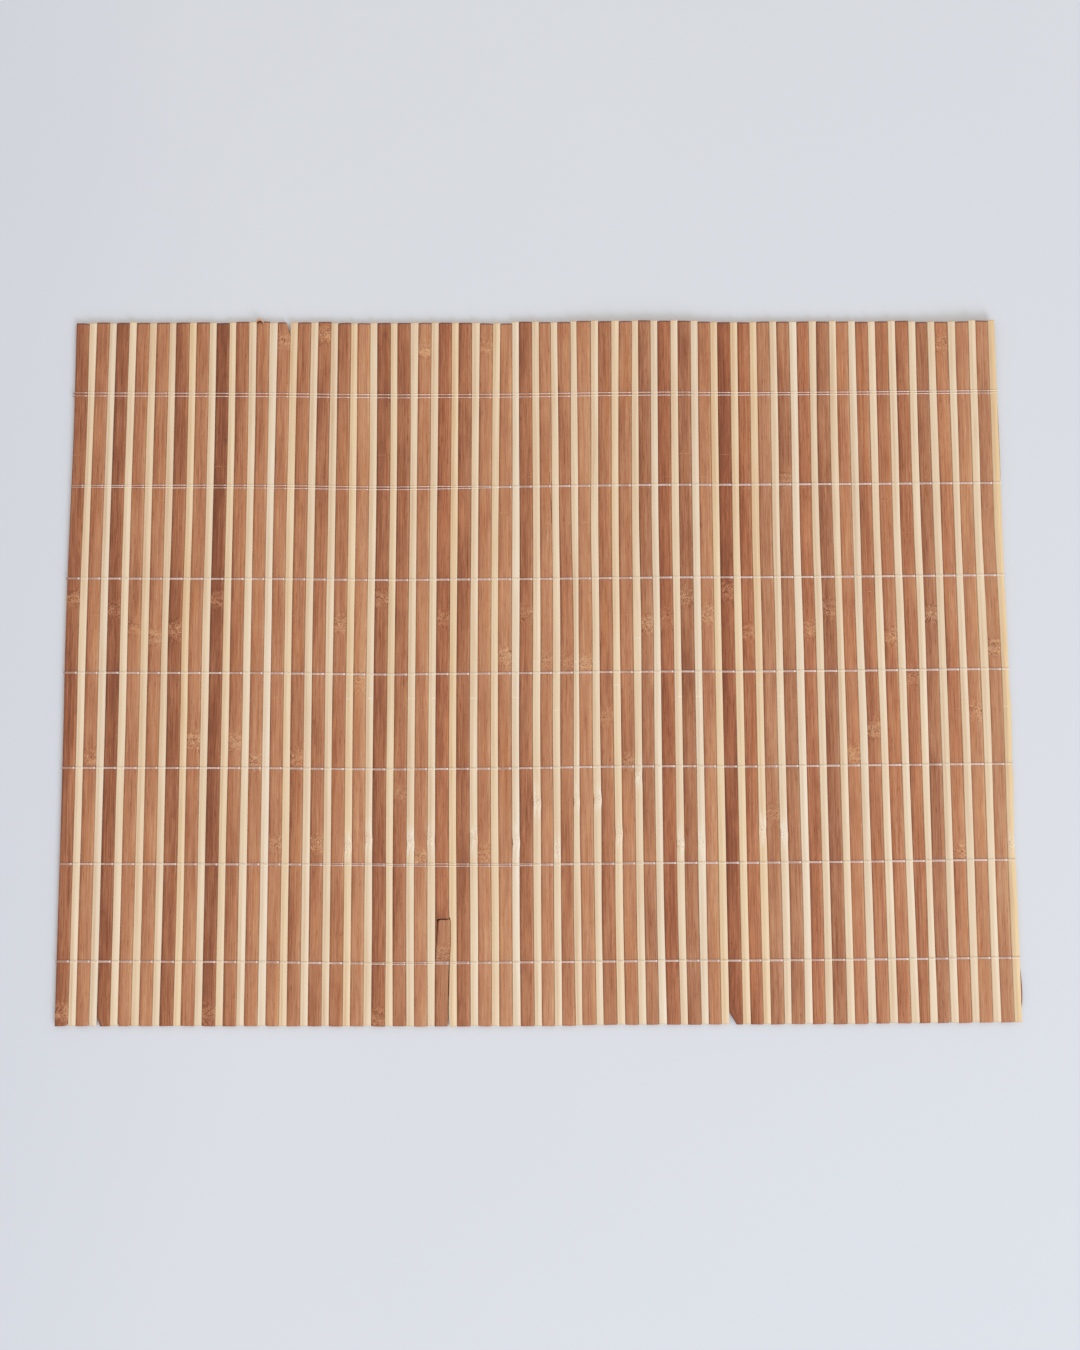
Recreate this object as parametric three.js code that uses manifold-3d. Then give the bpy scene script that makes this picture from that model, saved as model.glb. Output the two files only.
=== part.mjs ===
// Bamboo placemat: 46 wide brown slats and 46 narrow pale splints lie side by
// side in turn, and seven rows of doubled nylon thread, twined over and under
// them, hold them together. It lies flat, with its far edge a little uneven.
//
// Units are millimetres. +X runs across the slats (the mat's long side), +Y
// runs along the slats towards the far edge, +Z is up. The origin is the
// middle of the footprint, on the surface that the mat lies on.

import * as THREE from 'three';
import { mergeVertices } from 'three/addons/utils/BufferGeometryUtils.js';
import Module from 'manifold-3d';

const wasm = await Module();
wasm.setup();

// ---- driving dimensions ----------------------------------------------------

const MAT_LONG = 400; // across all the slats
const SLAT_LENGTH = 300; // along each slat
const PAIRS = 46; // one brown slat and one pale splint in each pair
const PITCH = MAT_LONG / PAIRS; // 8.696 from pair to pair
const BROWN_THICK = 1.6; // a brown slat's flat top
const PALE_THICK = 2.0; // a pale splint's rounded crown, which stands proud
const JOINT_FLOOR = 1.1; // the bottom of the groove between two neighbours
const THREAD = 0.4; // thickness of the nylon thread
const GAP = 0.3; // clear space between a thread and the slats
const THREAD_FOOT = 0.05; // the thread's underside, above the surface
const RECENTRE = 0.22; // brings the uneven outline's box back to the origin

// Section of one pair across the mat: how far from the pair's left edge, and
// how high. The first four rows are the brown slat, the rest the pale splint.
const PAIR_SECTION = [
  { at: 0.12, z: JOINT_FLOOR },
  { at: 0.4, z: BROWN_THICK },
  { at: 5.75, z: BROWN_THICK },
  { at: 5.98, z: JOINT_FLOOR },
  { at: 6.55, z: PALE_THICK },
  { at: 8.05, z: PALE_THICK },
];

// How the mat lies, along X. near and far: how far the cut ends wander along
// Y. lift: how far the far edge stands off the surface. weave: how far the
// thread rows wander along Y.
const LIE = [
  { x: -200, near: 0.0, far: 0.0, lift: 0.0, weave: 0.0 },
  { x: -140, near: -0.2, far: 0.15, lift: 0.0, weave: -0.3 },
  { x: -98, near: -0.55, far: 0.0, lift: 0.0, weave: -0.75 },
  { x: -62, near: -0.8, far: -0.15, lift: 0.0, weave: -1.2 },
  { x: -15, near: -0.95, far: -0.3, lift: 0.0, weave: -0.85 },
  { x: 5, near: -0.83, far: 0.0, lift: 0.3, weave: -0.7 },
  { x: 28, near: -0.55, far: 0.35, lift: 0.9, weave: -0.5 },
  { x: 62, near: -0.55, far: 0.5, lift: 1.0, weave: -0.3 },
  { x: 88, near: -0.2, far: 0.05, lift: 0.3, weave: -0.35 },
  { x: 130, near: -0.25, far: 0.0, lift: 0.15, weave: 0.0 },
  { x: 165, near: -0.3, far: -0.1, lift: 0.6, weave: 0.2 },
  { x: 185, near: -0.2, far: -0.1, lift: 1.3, weave: 0.4 },
  { x: 200, near: 0.0, far: -0.2, lift: 1.2, weave: 0.6 },
];

// Stations along the slats, from the far edge to the near one, and the share
// of the far edge's lift that each one has.
const STATIONS = [
  { y: 150, share: 1.0 },
  { y: 134, share: 0.62 },
  { y: 118, share: 0.32 },
  { y: 100, share: 0.1 },
  { y: 80, share: 0.0 },
  { y: -150, share: 0.0 },
];

// The seven rows of thread. band is the width that the row's two strands
// take up side by side.
const THREAD_ROWS = [
  { name: 'thread_row_1', y: 117.5, band: 1.9 },
  { name: 'thread_row_2', y: 77.2, band: 1.3 },
  { name: 'thread_row_3', y: 37.1, band: 1.0 },
  { name: 'thread_row_4', y: -3.3, band: 1.0 },
  { name: 'thread_row_5', y: -43.4, band: 1.0 },
  { name: 'thread_row_6', y: -83.4, band: 1.0 },
  { name: 'thread_row_7', y: -123.7, band: 1.0 },
];

// ---- how the mat lies ------------------------------------------------------

function along(table, key, at, column) {
  const ahead = Math.sign(table[table.length - 1][key] - table[0][key]);
  let i = 0;
  while (i < table.length - 2 && (at - table[i + 1][key]) * ahead > 0) i += 1;
  const a = table[i];
  const b = table[i + 1];
  const t = Math.min(1, Math.max(0, (at - a[key]) / (b[key] - a[key])));
  return a[column] + (b[column] - a[column]) * t;
}

const lift = (x, y) => along(LIE, 'x', x, 'lift') * along(STATIONS, 'y', y, 'share');

function endShift(x, y) {
  const t = y / SLAT_LENGTH + 0.5;
  return (1 - t) * along(LIE, 'x', x, 'near') + t * along(LIE, 'x', x, 'far');
}

// ---- shapes ----------------------------------------------------------------

// A box cut into columns across the mat and stations along it, whose points
// are then moved: place(column, station, top) gives a point's place.
function board(columns, stations, place) {
  const nx = columns.length - 1;
  const ny = stations.length - 1;
  const made = new THREE.BoxGeometry(1, 1, 1, nx, ny, 1);
  made.deleteAttribute('normal');
  made.deleteAttribute('uv');
  const position = made.getAttribute('position');
  for (let i = 0; i < position.count; i += 1) {
    const column = columns[Math.round((position.getX(i) + 0.5) * nx)];
    const station = stations[Math.round((0.5 - position.getY(i)) * ny)];
    position.setXYZ(i, ...place(column, station, position.getZ(i) > 0));
  }
  const closed = mergeVertices(made, 1e-4);
  return new wasm.Manifold(
    new wasm.Mesh({
      numProp: 3,
      vertProperties: new Float32Array(closed.getAttribute('position').array),
      triVerts: new Uint32Array(closed.getIndex().array),
    }),
  );
}

function toGeometry(solid) {
  const mesh = solid.getMesh();
  const geometry = new THREE.BufferGeometry();
  geometry.setAttribute('position', new THREE.BufferAttribute(new Float32Array(mesh.vertProperties), 3));
  geometry.setIndex(new THREE.BufferAttribute(new Uint32Array(mesh.triVerts), 1));
  geometry.computeVertexNormals();
  return geometry;
}

// A straight band along a thread row, from one X to another, which follows
// the row's wander and the mat's lift.
function rowBand(row, from, to, width, low, high) {
  const inside = LIE.filter((r) => r.x > from + 1 && r.x < to - 1).map((r) => r.x);
  const stations = [row.y + width / 2, row.y - width / 2];
  return board([from, ...inside, to], stations, (x, y, top) => [
    x,
    y + along(LIE, 'x', x, 'weave') + RECENTRE,
    (top ? high : low) + lift(x, row.y),
  ]);
}

// ---- the slats -------------------------------------------------------------

function slatColumns() {
  const half = MAT_LONG / 2;
  const columns = [];
  for (let i = 0; i < PAIRS; i += 1) {
    const left = -half + i * PITCH;
    for (const row of PAIR_SECTION) columns.push({ x: left + row.at, z: row.z });
  }
  columns[0] = { x: -half, z: 1.35 }; // the outer side of the first slat
  columns.push({ x: half, z: 1.3 }); // and of the last splint
  return columns;
}

let slats = board(slatColumns(), STATIONS, (column, station, top) => [
  column.x,
  station.y + endShift(column.x, station.y) + RECENTRE,
  (top ? column.z : 0) + lift(column.x, station.y),
]);

// Each thread row passes under the slats in a shallow channel, so that the
// slats themselves lie on the surface.
for (const row of THREAD_ROWS) {
  const reach = MAT_LONG / 2 + 2;
  slats = slats.subtract(rowBand(row, -reach, reach, row.band + 2 * GAP, -1, THREAD_FOOT + THREAD + GAP));
}

// ---- the thread rows -------------------------------------------------------

// A row is a closed loop: across the top of the slats, round the right edge,
// back under them in the channel and round the left edge.
function threadRow(row) {
  const inner = MAT_LONG / 2 + GAP;
  const outer = inner + THREAD;
  const crown = PALE_THICK + GAP;
  const over = rowBand(row, -outer, outer, row.band, crown, crown + THREAD);
  const under = rowBand(row, -outer, outer, row.band, THREAD_FOOT, THREAD_FOOT + THREAD);
  const left = rowBand(row, -outer, -inner, row.band, THREAD_FOOT, crown + THREAD);
  const right = rowBand(row, inner, outer, row.band, THREAD_FOOT, crown + THREAD);
  return over.add(under).add(left).add(right);
}

// ---- the placemat ----------------------------------------------------------

const bamboo = new THREE.MeshStandardMaterial({ color: 0xb27f60, roughness: 0.62, metalness: 0, flatShading: true });
const nylon = new THREE.MeshStandardMaterial({ color: 0xe6e2dc, roughness: 0.35, metalness: 0, flatShading: true });

const placemat = new THREE.Group();

const slatField = new THREE.Mesh(toGeometry(slats), bamboo);
slatField.name = 'slat_field';
placemat.add(slatField);

for (const row of THREAD_ROWS) {
  const thread = new THREE.Mesh(toGeometry(threadRow(row)), nylon.clone());
  thread.name = row.name;
  placemat.add(thread);
}

export default placemat;
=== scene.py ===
"""Bamboo placemat lying on a pale surface, seen almost from straight above.

Lengths in the tables are millimetres, in the frame of the CAD model: X runs
across the slats, Y along them towards the far edge and Z up.
"""

import math

import bpy
import numpy as np
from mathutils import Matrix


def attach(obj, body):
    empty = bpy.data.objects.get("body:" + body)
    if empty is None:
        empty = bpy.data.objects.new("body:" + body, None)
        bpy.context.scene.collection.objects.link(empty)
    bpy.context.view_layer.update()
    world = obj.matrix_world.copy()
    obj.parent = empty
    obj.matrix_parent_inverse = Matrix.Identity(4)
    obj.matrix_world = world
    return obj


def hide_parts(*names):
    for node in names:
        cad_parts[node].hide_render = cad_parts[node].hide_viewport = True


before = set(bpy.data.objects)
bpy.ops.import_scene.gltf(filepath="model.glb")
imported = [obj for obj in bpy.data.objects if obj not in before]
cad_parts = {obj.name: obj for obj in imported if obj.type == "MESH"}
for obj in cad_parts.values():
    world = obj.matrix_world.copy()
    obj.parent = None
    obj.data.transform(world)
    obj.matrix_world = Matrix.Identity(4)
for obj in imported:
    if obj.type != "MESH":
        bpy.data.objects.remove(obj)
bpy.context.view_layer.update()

MM = 0.001

# ---- what the photo shows, read by ruler -------------------------------------

PAIRS = 46
PITCH = 400.0 / PAIRS  # one brown slat and one pale splint
LENGTH = 300.0
RECENTRE = 0.22  # as in the CAD model
BROWN_LOW, BROWN_TOP = 0.35, 1.6
PALE_LOW, PALE_TOP = 0.3, 2.0

# How the mat lies, by X, as in the CAD model: how far its near and far ends
# wander along Y, how far its far edge stands off the surface, and how far its
# thread rows wander along Y.
LIE_X = (-200, -140, -98, -62, -15, 5, 28, 62, 88, 130, 165, 185, 200)
NEAR = (0.0, -0.2, -0.55, -0.8, -0.95, -0.83, -0.55, -0.55, -0.2, -0.25, -0.3, -0.2, 0.0)
FAR = (0.0, 0.15, 0.0, -0.15, -0.3, 0.0, 0.14, 0.27, 0.0, -0.08, -0.2, -0.27, -0.36)
LIFT = (0.0, 0.0, 0.0, 0.0, 0.0, 0.3, 0.9, 1.0, 0.3, 0.15, 0.6, 1.3, 1.2)
LIFT_DOWN = (0, 16, 32, 50, 70, 300)  # mm from the far edge
LIFT_SHARE = (1.0, 0.62, 0.32, 0.1, 0.0, 0.0)

# The brown slats, from the left. Tone is a step from 0, the darkest, to 10. Red is 1
# for a redder slat and -1 for a greyer one. Side is how far the slat's middle
# stands to the right of its even place at each DOWN, which is mm from the far
# edge. Wide is its width, far and near or at each DOWN. Knots are the places
# along Y of its nodes, and splint those on the pale splint to its right. Ends
# are how far the cut ends, far and near, stand in from the mat's own edges.
DOWN = (10, 52, 93, 133, 174, 214, 254, 288)
SLATS = [
    # tone, red, side, wide, knots, splint, ends, splint ends
    (3,  0.0, (0.12, 0.24, -0.27, -0.57, -0.24, -0.06, -0.03, 0.03), (6.18, 6.06), (28.4, -144.4), (), (0.85, -0.15), (0.8, 0.1)),
    (7,  0.0, (0.27, -0.03, -0.32, -0.37, -0.25, -0.07, -0.06, 0.02), (6.07, 5.98), (-39.6,), (), (0.5, -0.15), (0.9, 0.05)),
    (2,  0.0, (0.14, -0.07, -0.31, -0.27, -0.09, -0.13, -0.02, -0.03), (6.06, 5.95), (23.7,), (), (0.65, -0.2), (0.4, 0.15)),
    (8,  0.0, (0.18, -0.07, -0.26, -0.22, -0.04, -0.11, -0.05, -0.07), (6.10, 6.00), (15.9,), (), (0.7, -0.15), (0.9, 0.05)),
    (8,  0.0, (0.20, 0.07, -0.07, -0.06, -0.09, -0.02, 0.07, 0.00), (6.08, 5.94), (11.6,), (), (0.7, -0.15), (0.9, 0.05)),
    (3,  0.0, (0.10, 0.19, 0.12, -0.36, -0.10, -0.02, 0.05, -0.11), (6.32, 6.19), (14.6,), (), (0.65, -0.1), (0.7, 0)),
    (7,  0.0, (0.18, 0.22, 0.10, -0.29, -0.14, -0.15, 0.00, -0.11), (6.09, 6.04), (-31.8,), (), (0.65, -0.1), (0.9, 0.1)),
    (1,  0.0, (0.14, 0.23, 0.08, -0.12, -0.07, -0.16, -0.11, -0.14), (6.07, 6.03), (27.9, -145.4), (), (0.95, -0.2), (0.65, 0.1)),
    (6,  0.0, (-0.06, 0.14, 0.02, -0.13, 0.01, -0.16, -0.20, -0.18), (6.09, 6.02), (-33.1,), (), (0.4, -0.15), (0.5, 0.2)),
    (8,  0.0, (0.09, 0.18, 0.00, -0.01, -0.03, -0.03, 0.00, -0.07), (6.04, 6.07), (-41.5,), (), (0.25, -0.05), (0.85, 0.2)),
    (8,  0.0, (0.48, 0.22, -0.06, -0.04, -0.06, 0.09, 0.09, 0.10), (6.02, 5.98), (141.0, -75.8), (), (0.6, -0.05), (0.65, 0.15)),
    (6,  0.0, (0.64, 0.33, 0.12, -0.09, -0.09, 0.04, 0.05, 0.09), (6.19, 5.95), (-39.9,), (), (0.55, -0.05), (0.65, 0.15)),
    (6,  0.0, (0.78, 0.47, 0.27, 0.02, 0.05, 0.09, 0.15, 0.17), (6.03, 6.01), (144.1, -75.8), (), (0.35, 0), (0.9, 0.3)),
    (6,  0.0, (0.68, 0.58, 0.41, 0.24, 0.07, 0.17, 0.22, 0.21), (6.05, 6.06), (17.8,), (-76.7,), (0.8, -0.05), (1, 0.15)),
    (10,  0.0, (0.43, 0.54, 0.47, 0.21, 0.04, 0.19, 0.14, 0.18), (5.93, 5.88), (-8.2,), (-73.4,), (0.9, 0.05), (0.8, 0.35)),
    (3,  0.0, (0.46, 0.67, 0.58, 0.23, 0.11, 0.03, 0.34, 0.34), (6.22, 6.13), (28.1, -146.9), (), (0.8, 0), (0.95, 0.3)),
    (5,  0.0, (0.45, 0.65, 0.53, 0.27, 0.18, 0.06, 0.12, 0.43), (6.11, 6.03), (-54.7,), (-75.1,), (0.75, 0.1), (0.75, 0.15)),
    (9,  0.0, (0.81, 0.64, 0.51, 0.40, 0.27, 0.17, 0.27, 0.53), (6.07, 5.97), (137.3, -81.8), (-73.5,), (0.7, -0.05), (0.6, 0.35)),
    (4,  1.0, (0.94, 0.83, 0.56, 0.48, 0.30, 0.35, 0.54, 0.52), (6.13, 6.17), (19.0,), (), (0.6, -0.15), (0.7, 0)),
    (4,  0.0, (0.97, 0.87, 0.76, 0.49, 0.36, 0.41, 0.71, 0.91), (6.18, 6.04), (), (-73.1,), (0.65, 0), (0.65, 0.35)),
    (9,  0.0, (1.40, 1.05, 0.86, 0.73, 0.58, 0.61, 0.92, 1.03), (6.10, 5.99), (138.6, -80.2), (), (0.95, 0.05), (0.85, 0.3)),
    (9,  0.0, (1.35, 1.16, 0.89, 0.71, 0.62, 0.77, 0.92, 1.07), (5.59, 6.05, 6.28, 6.17, 6.19, 6.19, 5.91, 5.98), (2.7,), (-74.4,), (1, 0.05), (0.35, 0.25)),
    (5,  0.0, (0.99, 1.04, 1.22, 1.08, 0.80, 0.93, 0.96, 1.24), (6.08, 6.16), (21.1,), (-58.2,), (0.4, 0), (0.45, 0.2)),
    (9,  0.0, (0.74, 0.89, 1.00, 1.09, 0.85, 0.99, 1.02, 1.12), (5.56, 5.71), (1.5,), (-78.6,), (0.8, 0), (0.95, 0.2)),
    (7,  0.0, (0.33, 0.43, 0.56, 1.00, 0.78, 0.67, 0.59, 0.89), (6.11, 5.71, 5.67, 6.02, 6.00, 5.83, 5.57, 5.89), (0.0,), (-57.8,), (0.85, -0.05), (0.55, 0.25)),
    (10,  0.0, (0.20, 0.28, 0.11, 0.21, 0.14, 0.16, 0.45, 0.69), (6.55, 6.17, 5.79, 6.20, 5.90, 6.20, 6.09, 6.21), (0.0,), (-57.9,), (0.55, 0.15), (0.45, 0.15)),
    (6,  0.0, (0.60, 0.39, 0.14, 0.26, 0.25, 0.48, 0.34, 0.67), (6.08, 6.09), (-22.5,), (-71.2,), (0.8, 0.1), (0.6, 0.35)),
    (8,  0.0, (0.82, 0.39, 0.17, 0.24, 0.38, 0.47, 0.54, 0.88), (6.07, 5.99), (-42.0,), (-47.4,), (0.75, 0.05), (0.6, 0.25)),
    (6, -1.0, (0.42, 0.25, 0.07, 0.46, 0.26, 0.32, 0.46, 0.78), (5.77, 5.61), (16.6,), (), (0.55, 0.1), (0.65, 0.4)),
    (4,  1.0, (0.23, 0.03, -0.13, 0.10, 0.12, 0.15, 0.25, 0.72), (6.09, 6.07), (19.6,), (-75.9,), (0.8, 0.1), (0.6, 0.2)),
    (5, -1.0, (0.30, 0.12, 0.07, 0.10, 0.24, 0.33, 0.40, 0.73), (6.08, 6.09), (28.6,), (-75.9,), (0.8, 0), (0.65, 0.2)),
    (9,  0.0, (0.26, 0.09, 0.06, 0.14, 0.23, 0.35, 0.43, 0.53), (5.90, 5.91, 5.89, 5.97, 5.91, 5.70, 5.66, 5.67), (20.9,), (), (1.05, -0.05), (1.15, 0.1)),
    (1,  1.0, (0.15, -0.01, -0.07, -0.10, 0.10, 0.28, 0.37, 0.53), (6.02, 6.03), (30.7,), (), (1.15, -0.2), (1.1, 0)),
    (5,  1.0, (0.05, -0.13, -0.39, -0.08, 0.06, 0.15, 0.27, 0.49), (5.71, 5.73), (13.1,), (-70.6,), (1.05, -0.3), (0.95, -0.1)),
    (8, -1.0, (-0.14, -0.19, -0.43, -0.17, -0.07, 0.08, 0.35, 0.42), (6.04, 6.08), (-63.5,), (-71.9,), (0.75, -0.3), (0.65, -0.05)),
    (6, -1.0, (-0.20, -0.15, -0.43, -0.24, -0.07, 0.15, 0.45, 0.26), (5.99, 5.98), (79.4,), (), (0.75, -0.2), (0.8, 0.05)),
    (6,  1.0, (-0.22, -0.35, -0.58, -0.20, -0.05, 0.10, 0.30, 0.22), (5.71, 5.79), (14.3,), (), (0.7, -0.25), (0.5, 0.1)),
    (5, -1.0, (-0.26, -0.71, -0.67, -0.16, -0.08, 0.03, 0.22, 0.26), (6.14, 6.15), (22.9,), (), (0.7, -0.3), (0.4, -0.05)),
    (9,  0.5, (-0.47, -0.67, -0.64, -0.47, -0.09, 0.05, 0.17, 0.33), (5.77, 5.90), (-38.9,), (), (0.7, -0.25), (0.55, 0.3)),
    (6,  0.5, (-0.68, -0.71, -0.70, -0.60, -0.02, 0.11, 0.34, 0.50), (5.93, 5.98), (-28.3,), (), (0.85, -0.05), (0.75, 0.25)),
    (7,  0.5, (-0.75, -0.74, -0.84, -0.45, -0.16, 0.09, 0.49, 0.71), (6.05, 6.00), (11.6,), (), (0.65, 0), (0.45, 0.3)),
    (6,  0.5, (-0.64, -0.71, -0.74, -0.27, -0.24, -0.07, 0.26, 0.39), (6.17, 5.91, 6.16, 6.12, 5.86, 5.69, 5.52, 4.97), (-6.0,), (), (0.45, 0.05), (0.75, 0.3)),
    (6, -1.0, (-0.78, -0.76, -0.68, -0.36, -0.40, -0.38, -0.43, -0.21), (5.59, 5.86, 5.84, 5.77, 5.85, 6.08, 6.06, 5.93), (20.6,), (), (1.05, 0.1), (0.9, 0.2)),
    (8,  0.5, (-0.96, -0.71, -0.59, -0.51, -0.32, -0.29, -0.26, -0.16), (6.09, 5.97), (139.1, -79.6), (), (1, 0), (0.95, 0.35)),
    (10,  0.0, (-0.73, -0.65, -0.80, -0.49, -0.10, -0.08, -0.15, -0.18), (6.19, 6.05), (-20.8,), (), (0.95, 0.1), (0.4, 0.35)),
    (9, -1.0, (-0.74, -0.56, -0.76, -0.10, 0.17, -0.11, -0.20, -0.03), (5.86, 5.92), (6.4,), (-77.0,), (0.55, 0.05), (0.25, 0.1)),
]

# The thread rows, far to near: Y, and how far apart the two lines are at these
# slats.
ROWS = [
    (117.5, (0, 30, 34, 45), (1.35, 1.3, 1.05, 1.05)),
    (77.2, (0, 3, 4, 18, 19, 20, 21, 45), (0.8, 0.8, 1.15, 1.2, 0.9, 0.9, 0.42, 0.4)),
    (37.1, (0, 45), (0.4, 0.4)),
    (-3.3, (0, 45), (0.4, 0.4)),
    (-43.4, (0, 45), (0.4, 0.4)),
    (-83.4, (0, 12, 13, 17, 18, 19, 20, 22, 23, 45), (0.4, 0.4, 0.7, 0.7, 1.0, 0.9, 0.8, 0.8, 0.42, 0.4)),
    (-123.7, (0, 15, 16, 19, 20, 45), (0.4, 0.4, 0.65, 0.7, 0.4, 0.4)),
]
ROW_SLAT = (0, 6, 10, 13, 16, 18, 22, 26, 30, 33, 38, 45)
ROW_SHIFT = (0.0, -0.3, -0.5, -0.9, -1.2, -1.0, -0.8, -0.5, -0.25, -0.35, 0.0, 0.55)
MORE_SLAT = (3, 9, 15, 21, 27, 33, 39, 44)
ROW_MORE = [  # each row's own wander along Y, at these slats
    (0.0, 0.0, 0.0, -0.2, 0.0, -0.16, -0.35, -0.49),
    (-0.15, -0.07, -0.3, -0.1, 0.08, 0.11, -0.08, -0.28),
    (-0.12, -0.1, -0.05, -0.14, -0.16, -0.1, -0.29, -0.35),
    (-0.09, -0.07, -0.17, -0.13, -0.05, -0.17, -0.3, -0.26),
    (-0.21, -0.13, -0.15, -0.27, 0.04, -0.26, -0.3, -0.35),
    (-0.27, -0.29, 0.03, -0.56, -0.47, -0.42, -0.54, -0.45),
    (-0.07, -0.12, -0.29, -0.33, -0.44, -0.38, -0.53, -0.51),
]
LOOP_OUT = (0.75, 0.1, 0.5, 0.4, 0.15, 0.1, 0.2)  # how far each row's loops stand out at the left edge
STRAND = 0.165  # half a strand's thickness

# Splints that are yellower, a little yellower or whiter than the others, and
# ones that are lighter or duller.
YELLOW, BUTTER, WHITE = (5, 10, 13, 18, 31, 32, 33, 45), (3, 7, 15, 20, 26), (1, 9, 21, 28, 30, 35, 38)
LIGHT, DULL = (9, 21, 28, 30, 31, 34, 35, 37, 38, 39, 41, 44), (3, 4, 5, 6, 10, 16, 18, 22, 23, 33, 45)

# Splints that are bent at a node: mm from the far end, and how far to the right.
BENT = {
    13: (226.5, 0.12), 14: (224, 0.14), 16: (225.5, 0.2), 17: (224, -0.14), 19: (223.5, 0.12), 21: (225, 0.26),
    22: (208.5, 0.16), 24: (208, 0.14), 25: (207.5, 0.3), 26: (221.5, 0.22), 27: (198, -0.12), 29: (226, 0.12),
    33: (221, -0.18), 34: (222.5, 0.14),
}

# Damage: at these slats an edge stands in from its line. (mm from the far end,
# mm in) for each corner.
LEFT_IN = {
    2: ((296.6, 0.0), (297.2, 0.3), (300.3, 1.3)),
    3: ((298.4, 0.0), (299.0, 0.35), (300.3, 0.4)),
    32: ((295.2, 0.0), (295.9, 0.5), (300.4, 3.1)),
}
RIGHT_IN = {
    0: ((297.8, 0.0), (299.2, 0.25), (300.2, 0.9)),
    1: ((298.6, 0.0), (299.1, 0.4), (300.3, 0.45)),
    10: ((-0.5, 1.9), (0.8, 1.8), (3.2, 1.0), (5.3, 0.45), (6.0, 0.0)),
    42: ((298.8, 0.0), (299.2, 0.4), (300.3, 0.5)),
}

# How far the last splint's outer side stands out from its line: mm from the
# far end, mm out.
LAST_AT = (0, 30, 66, 71, 95, 117, 124, 145, 160, 167, 180, 193, 199, 205, 216, 225, 231, 243, 275, 300)
LAST_OUT = (-0.2, 0, 0.05, -0.05, -0.15, 0.1, 0.3, 0.45, 0.4, 0.8, 0.7, 0.35, 0.75, 0.5, 0.3, 0.05, 0.3, 0.5, 0.5, 0.5)

# ---- helpers for the strips' shape -------------------------------------------


def smooth(at, xs, ys):
    """A smooth line through the points, straight beyond the first and last."""
    at, xs, ys = (np.asarray(a, float) for a in (at, xs, ys))
    slope = np.gradient(ys, xs)
    i = np.clip(np.searchsorted(xs, at) - 1, 0, len(xs) - 2)
    h = xs[i + 1] - xs[i]
    t = np.clip((at - xs[i]) / h, 0, 1)
    y = (
        (2 * t**3 - 3 * t**2 + 1) * ys[i]
        + (t**3 - 2 * t**2 + t) * h * slope[i]
        + (3 * t**2 - 2 * t**3) * ys[i + 1]
        + (t**3 - t**2) * h * slope[i + 1]
    )
    y = y + np.minimum(at - xs[0], 0) * slope[0]
    return y + np.maximum(at - xs[-1], 0) * slope[-1]


def lift(x, down):
    return np.interp(x, LIE_X, LIFT) * np.interp(down, LIFT_DOWN, LIFT_SHARE)


def end_shift(x, down):
    t = np.asarray(down) / LENGTH
    return t * np.interp(x, LIE_X, NEAR) + (1 - t) * np.interp(x, LIE_X, FAR)


def edges(k, down):
    """X of the lines on both sides of brown slat k, at these distances from the far edge."""
    side, wide = SLATS[k][2:4]
    middle = -200 + PITCH * k + 3.0 + smooth(down, DOWN, side)
    if len(wide) == 2:
        width = np.interp(down, (60, 240), wide)
    else:
        width = smooth(down, DOWN, wide)
    left, right = middle - width / 2, middle + width / 2
    # a bent splint pushes both its neighbours
    for splint, edge in ((k - 1, left), (k, right)):
        if splint in BENT:
            place, by = BENT[splint]
            edge += by * np.exp(-(((np.asarray(down) - place) / 2.4) ** 2))
    return left, right


def wave(rng, down, size, length):
    """A gentle, seeded wave along a strip."""
    total = 0.0
    for _ in range(3):
        turn, way = rng.uniform(0, 2 * math.pi), rng.uniform(0.6, 1.6)
        total = total + np.sin(down / length * way * 2 * math.pi + turn)
    return total * size / 3


def mark(down, places):
    """Signed distance to the nearest of these places, up to 60 mm."""
    best = np.full(len(down), 60.0)
    for p in places:
        d = down - p
        best = np.where(np.abs(d) < np.abs(best), d, best)
    return np.clip(best, -60, 60)


# A section is a ring of points: share of the way from the left edge to the
# right one, mm from there, share of the way from the underside to the top, mm
# from there. It starts at the lower right corner and goes up and over.
BROWN_SECTION = np.array([
    (1, -0.1, 0, 0), (1, 0, 0, 0.1), (1, 0, 1, -0.28), (1, -0.05, 1, -0.15), (1, -0.2, 1, -0.06),
    (1, -0.6, 1, 0), (0.74, 0, 1, 0.03), (0.5, 0, 1, 0.045), (0.26, 0, 1, 0.03), (0, 0.6, 1, 0),
    (0, 0.2, 1, -0.06), (0, 0.05, 1, -0.15), (0, 0, 1, -0.28), (0, 0, 0, 0.1), (0, 0.1, 0, 0),
])
PALE_SECTION = np.array([
    (1, -0.1, 0, 0), (1, 0, 0, 0.1), (1, 0, 1, -0.34), (1, -0.05, 1, -0.17), (1, -0.18, 1, -0.07),
    (1, -0.45, 1, -0.02), (0.64, 0, 1, 0), (0.47, 0, 1, 0), (0.32, 0, 1, -0.03), (0, 0.4, 1, -0.09),
    (0, 0.14, 1, -0.17), (0, 0, 1, -0.36), (0, 0, 0, 0.1), (0, 0.1, 0, 0),
])
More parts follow.
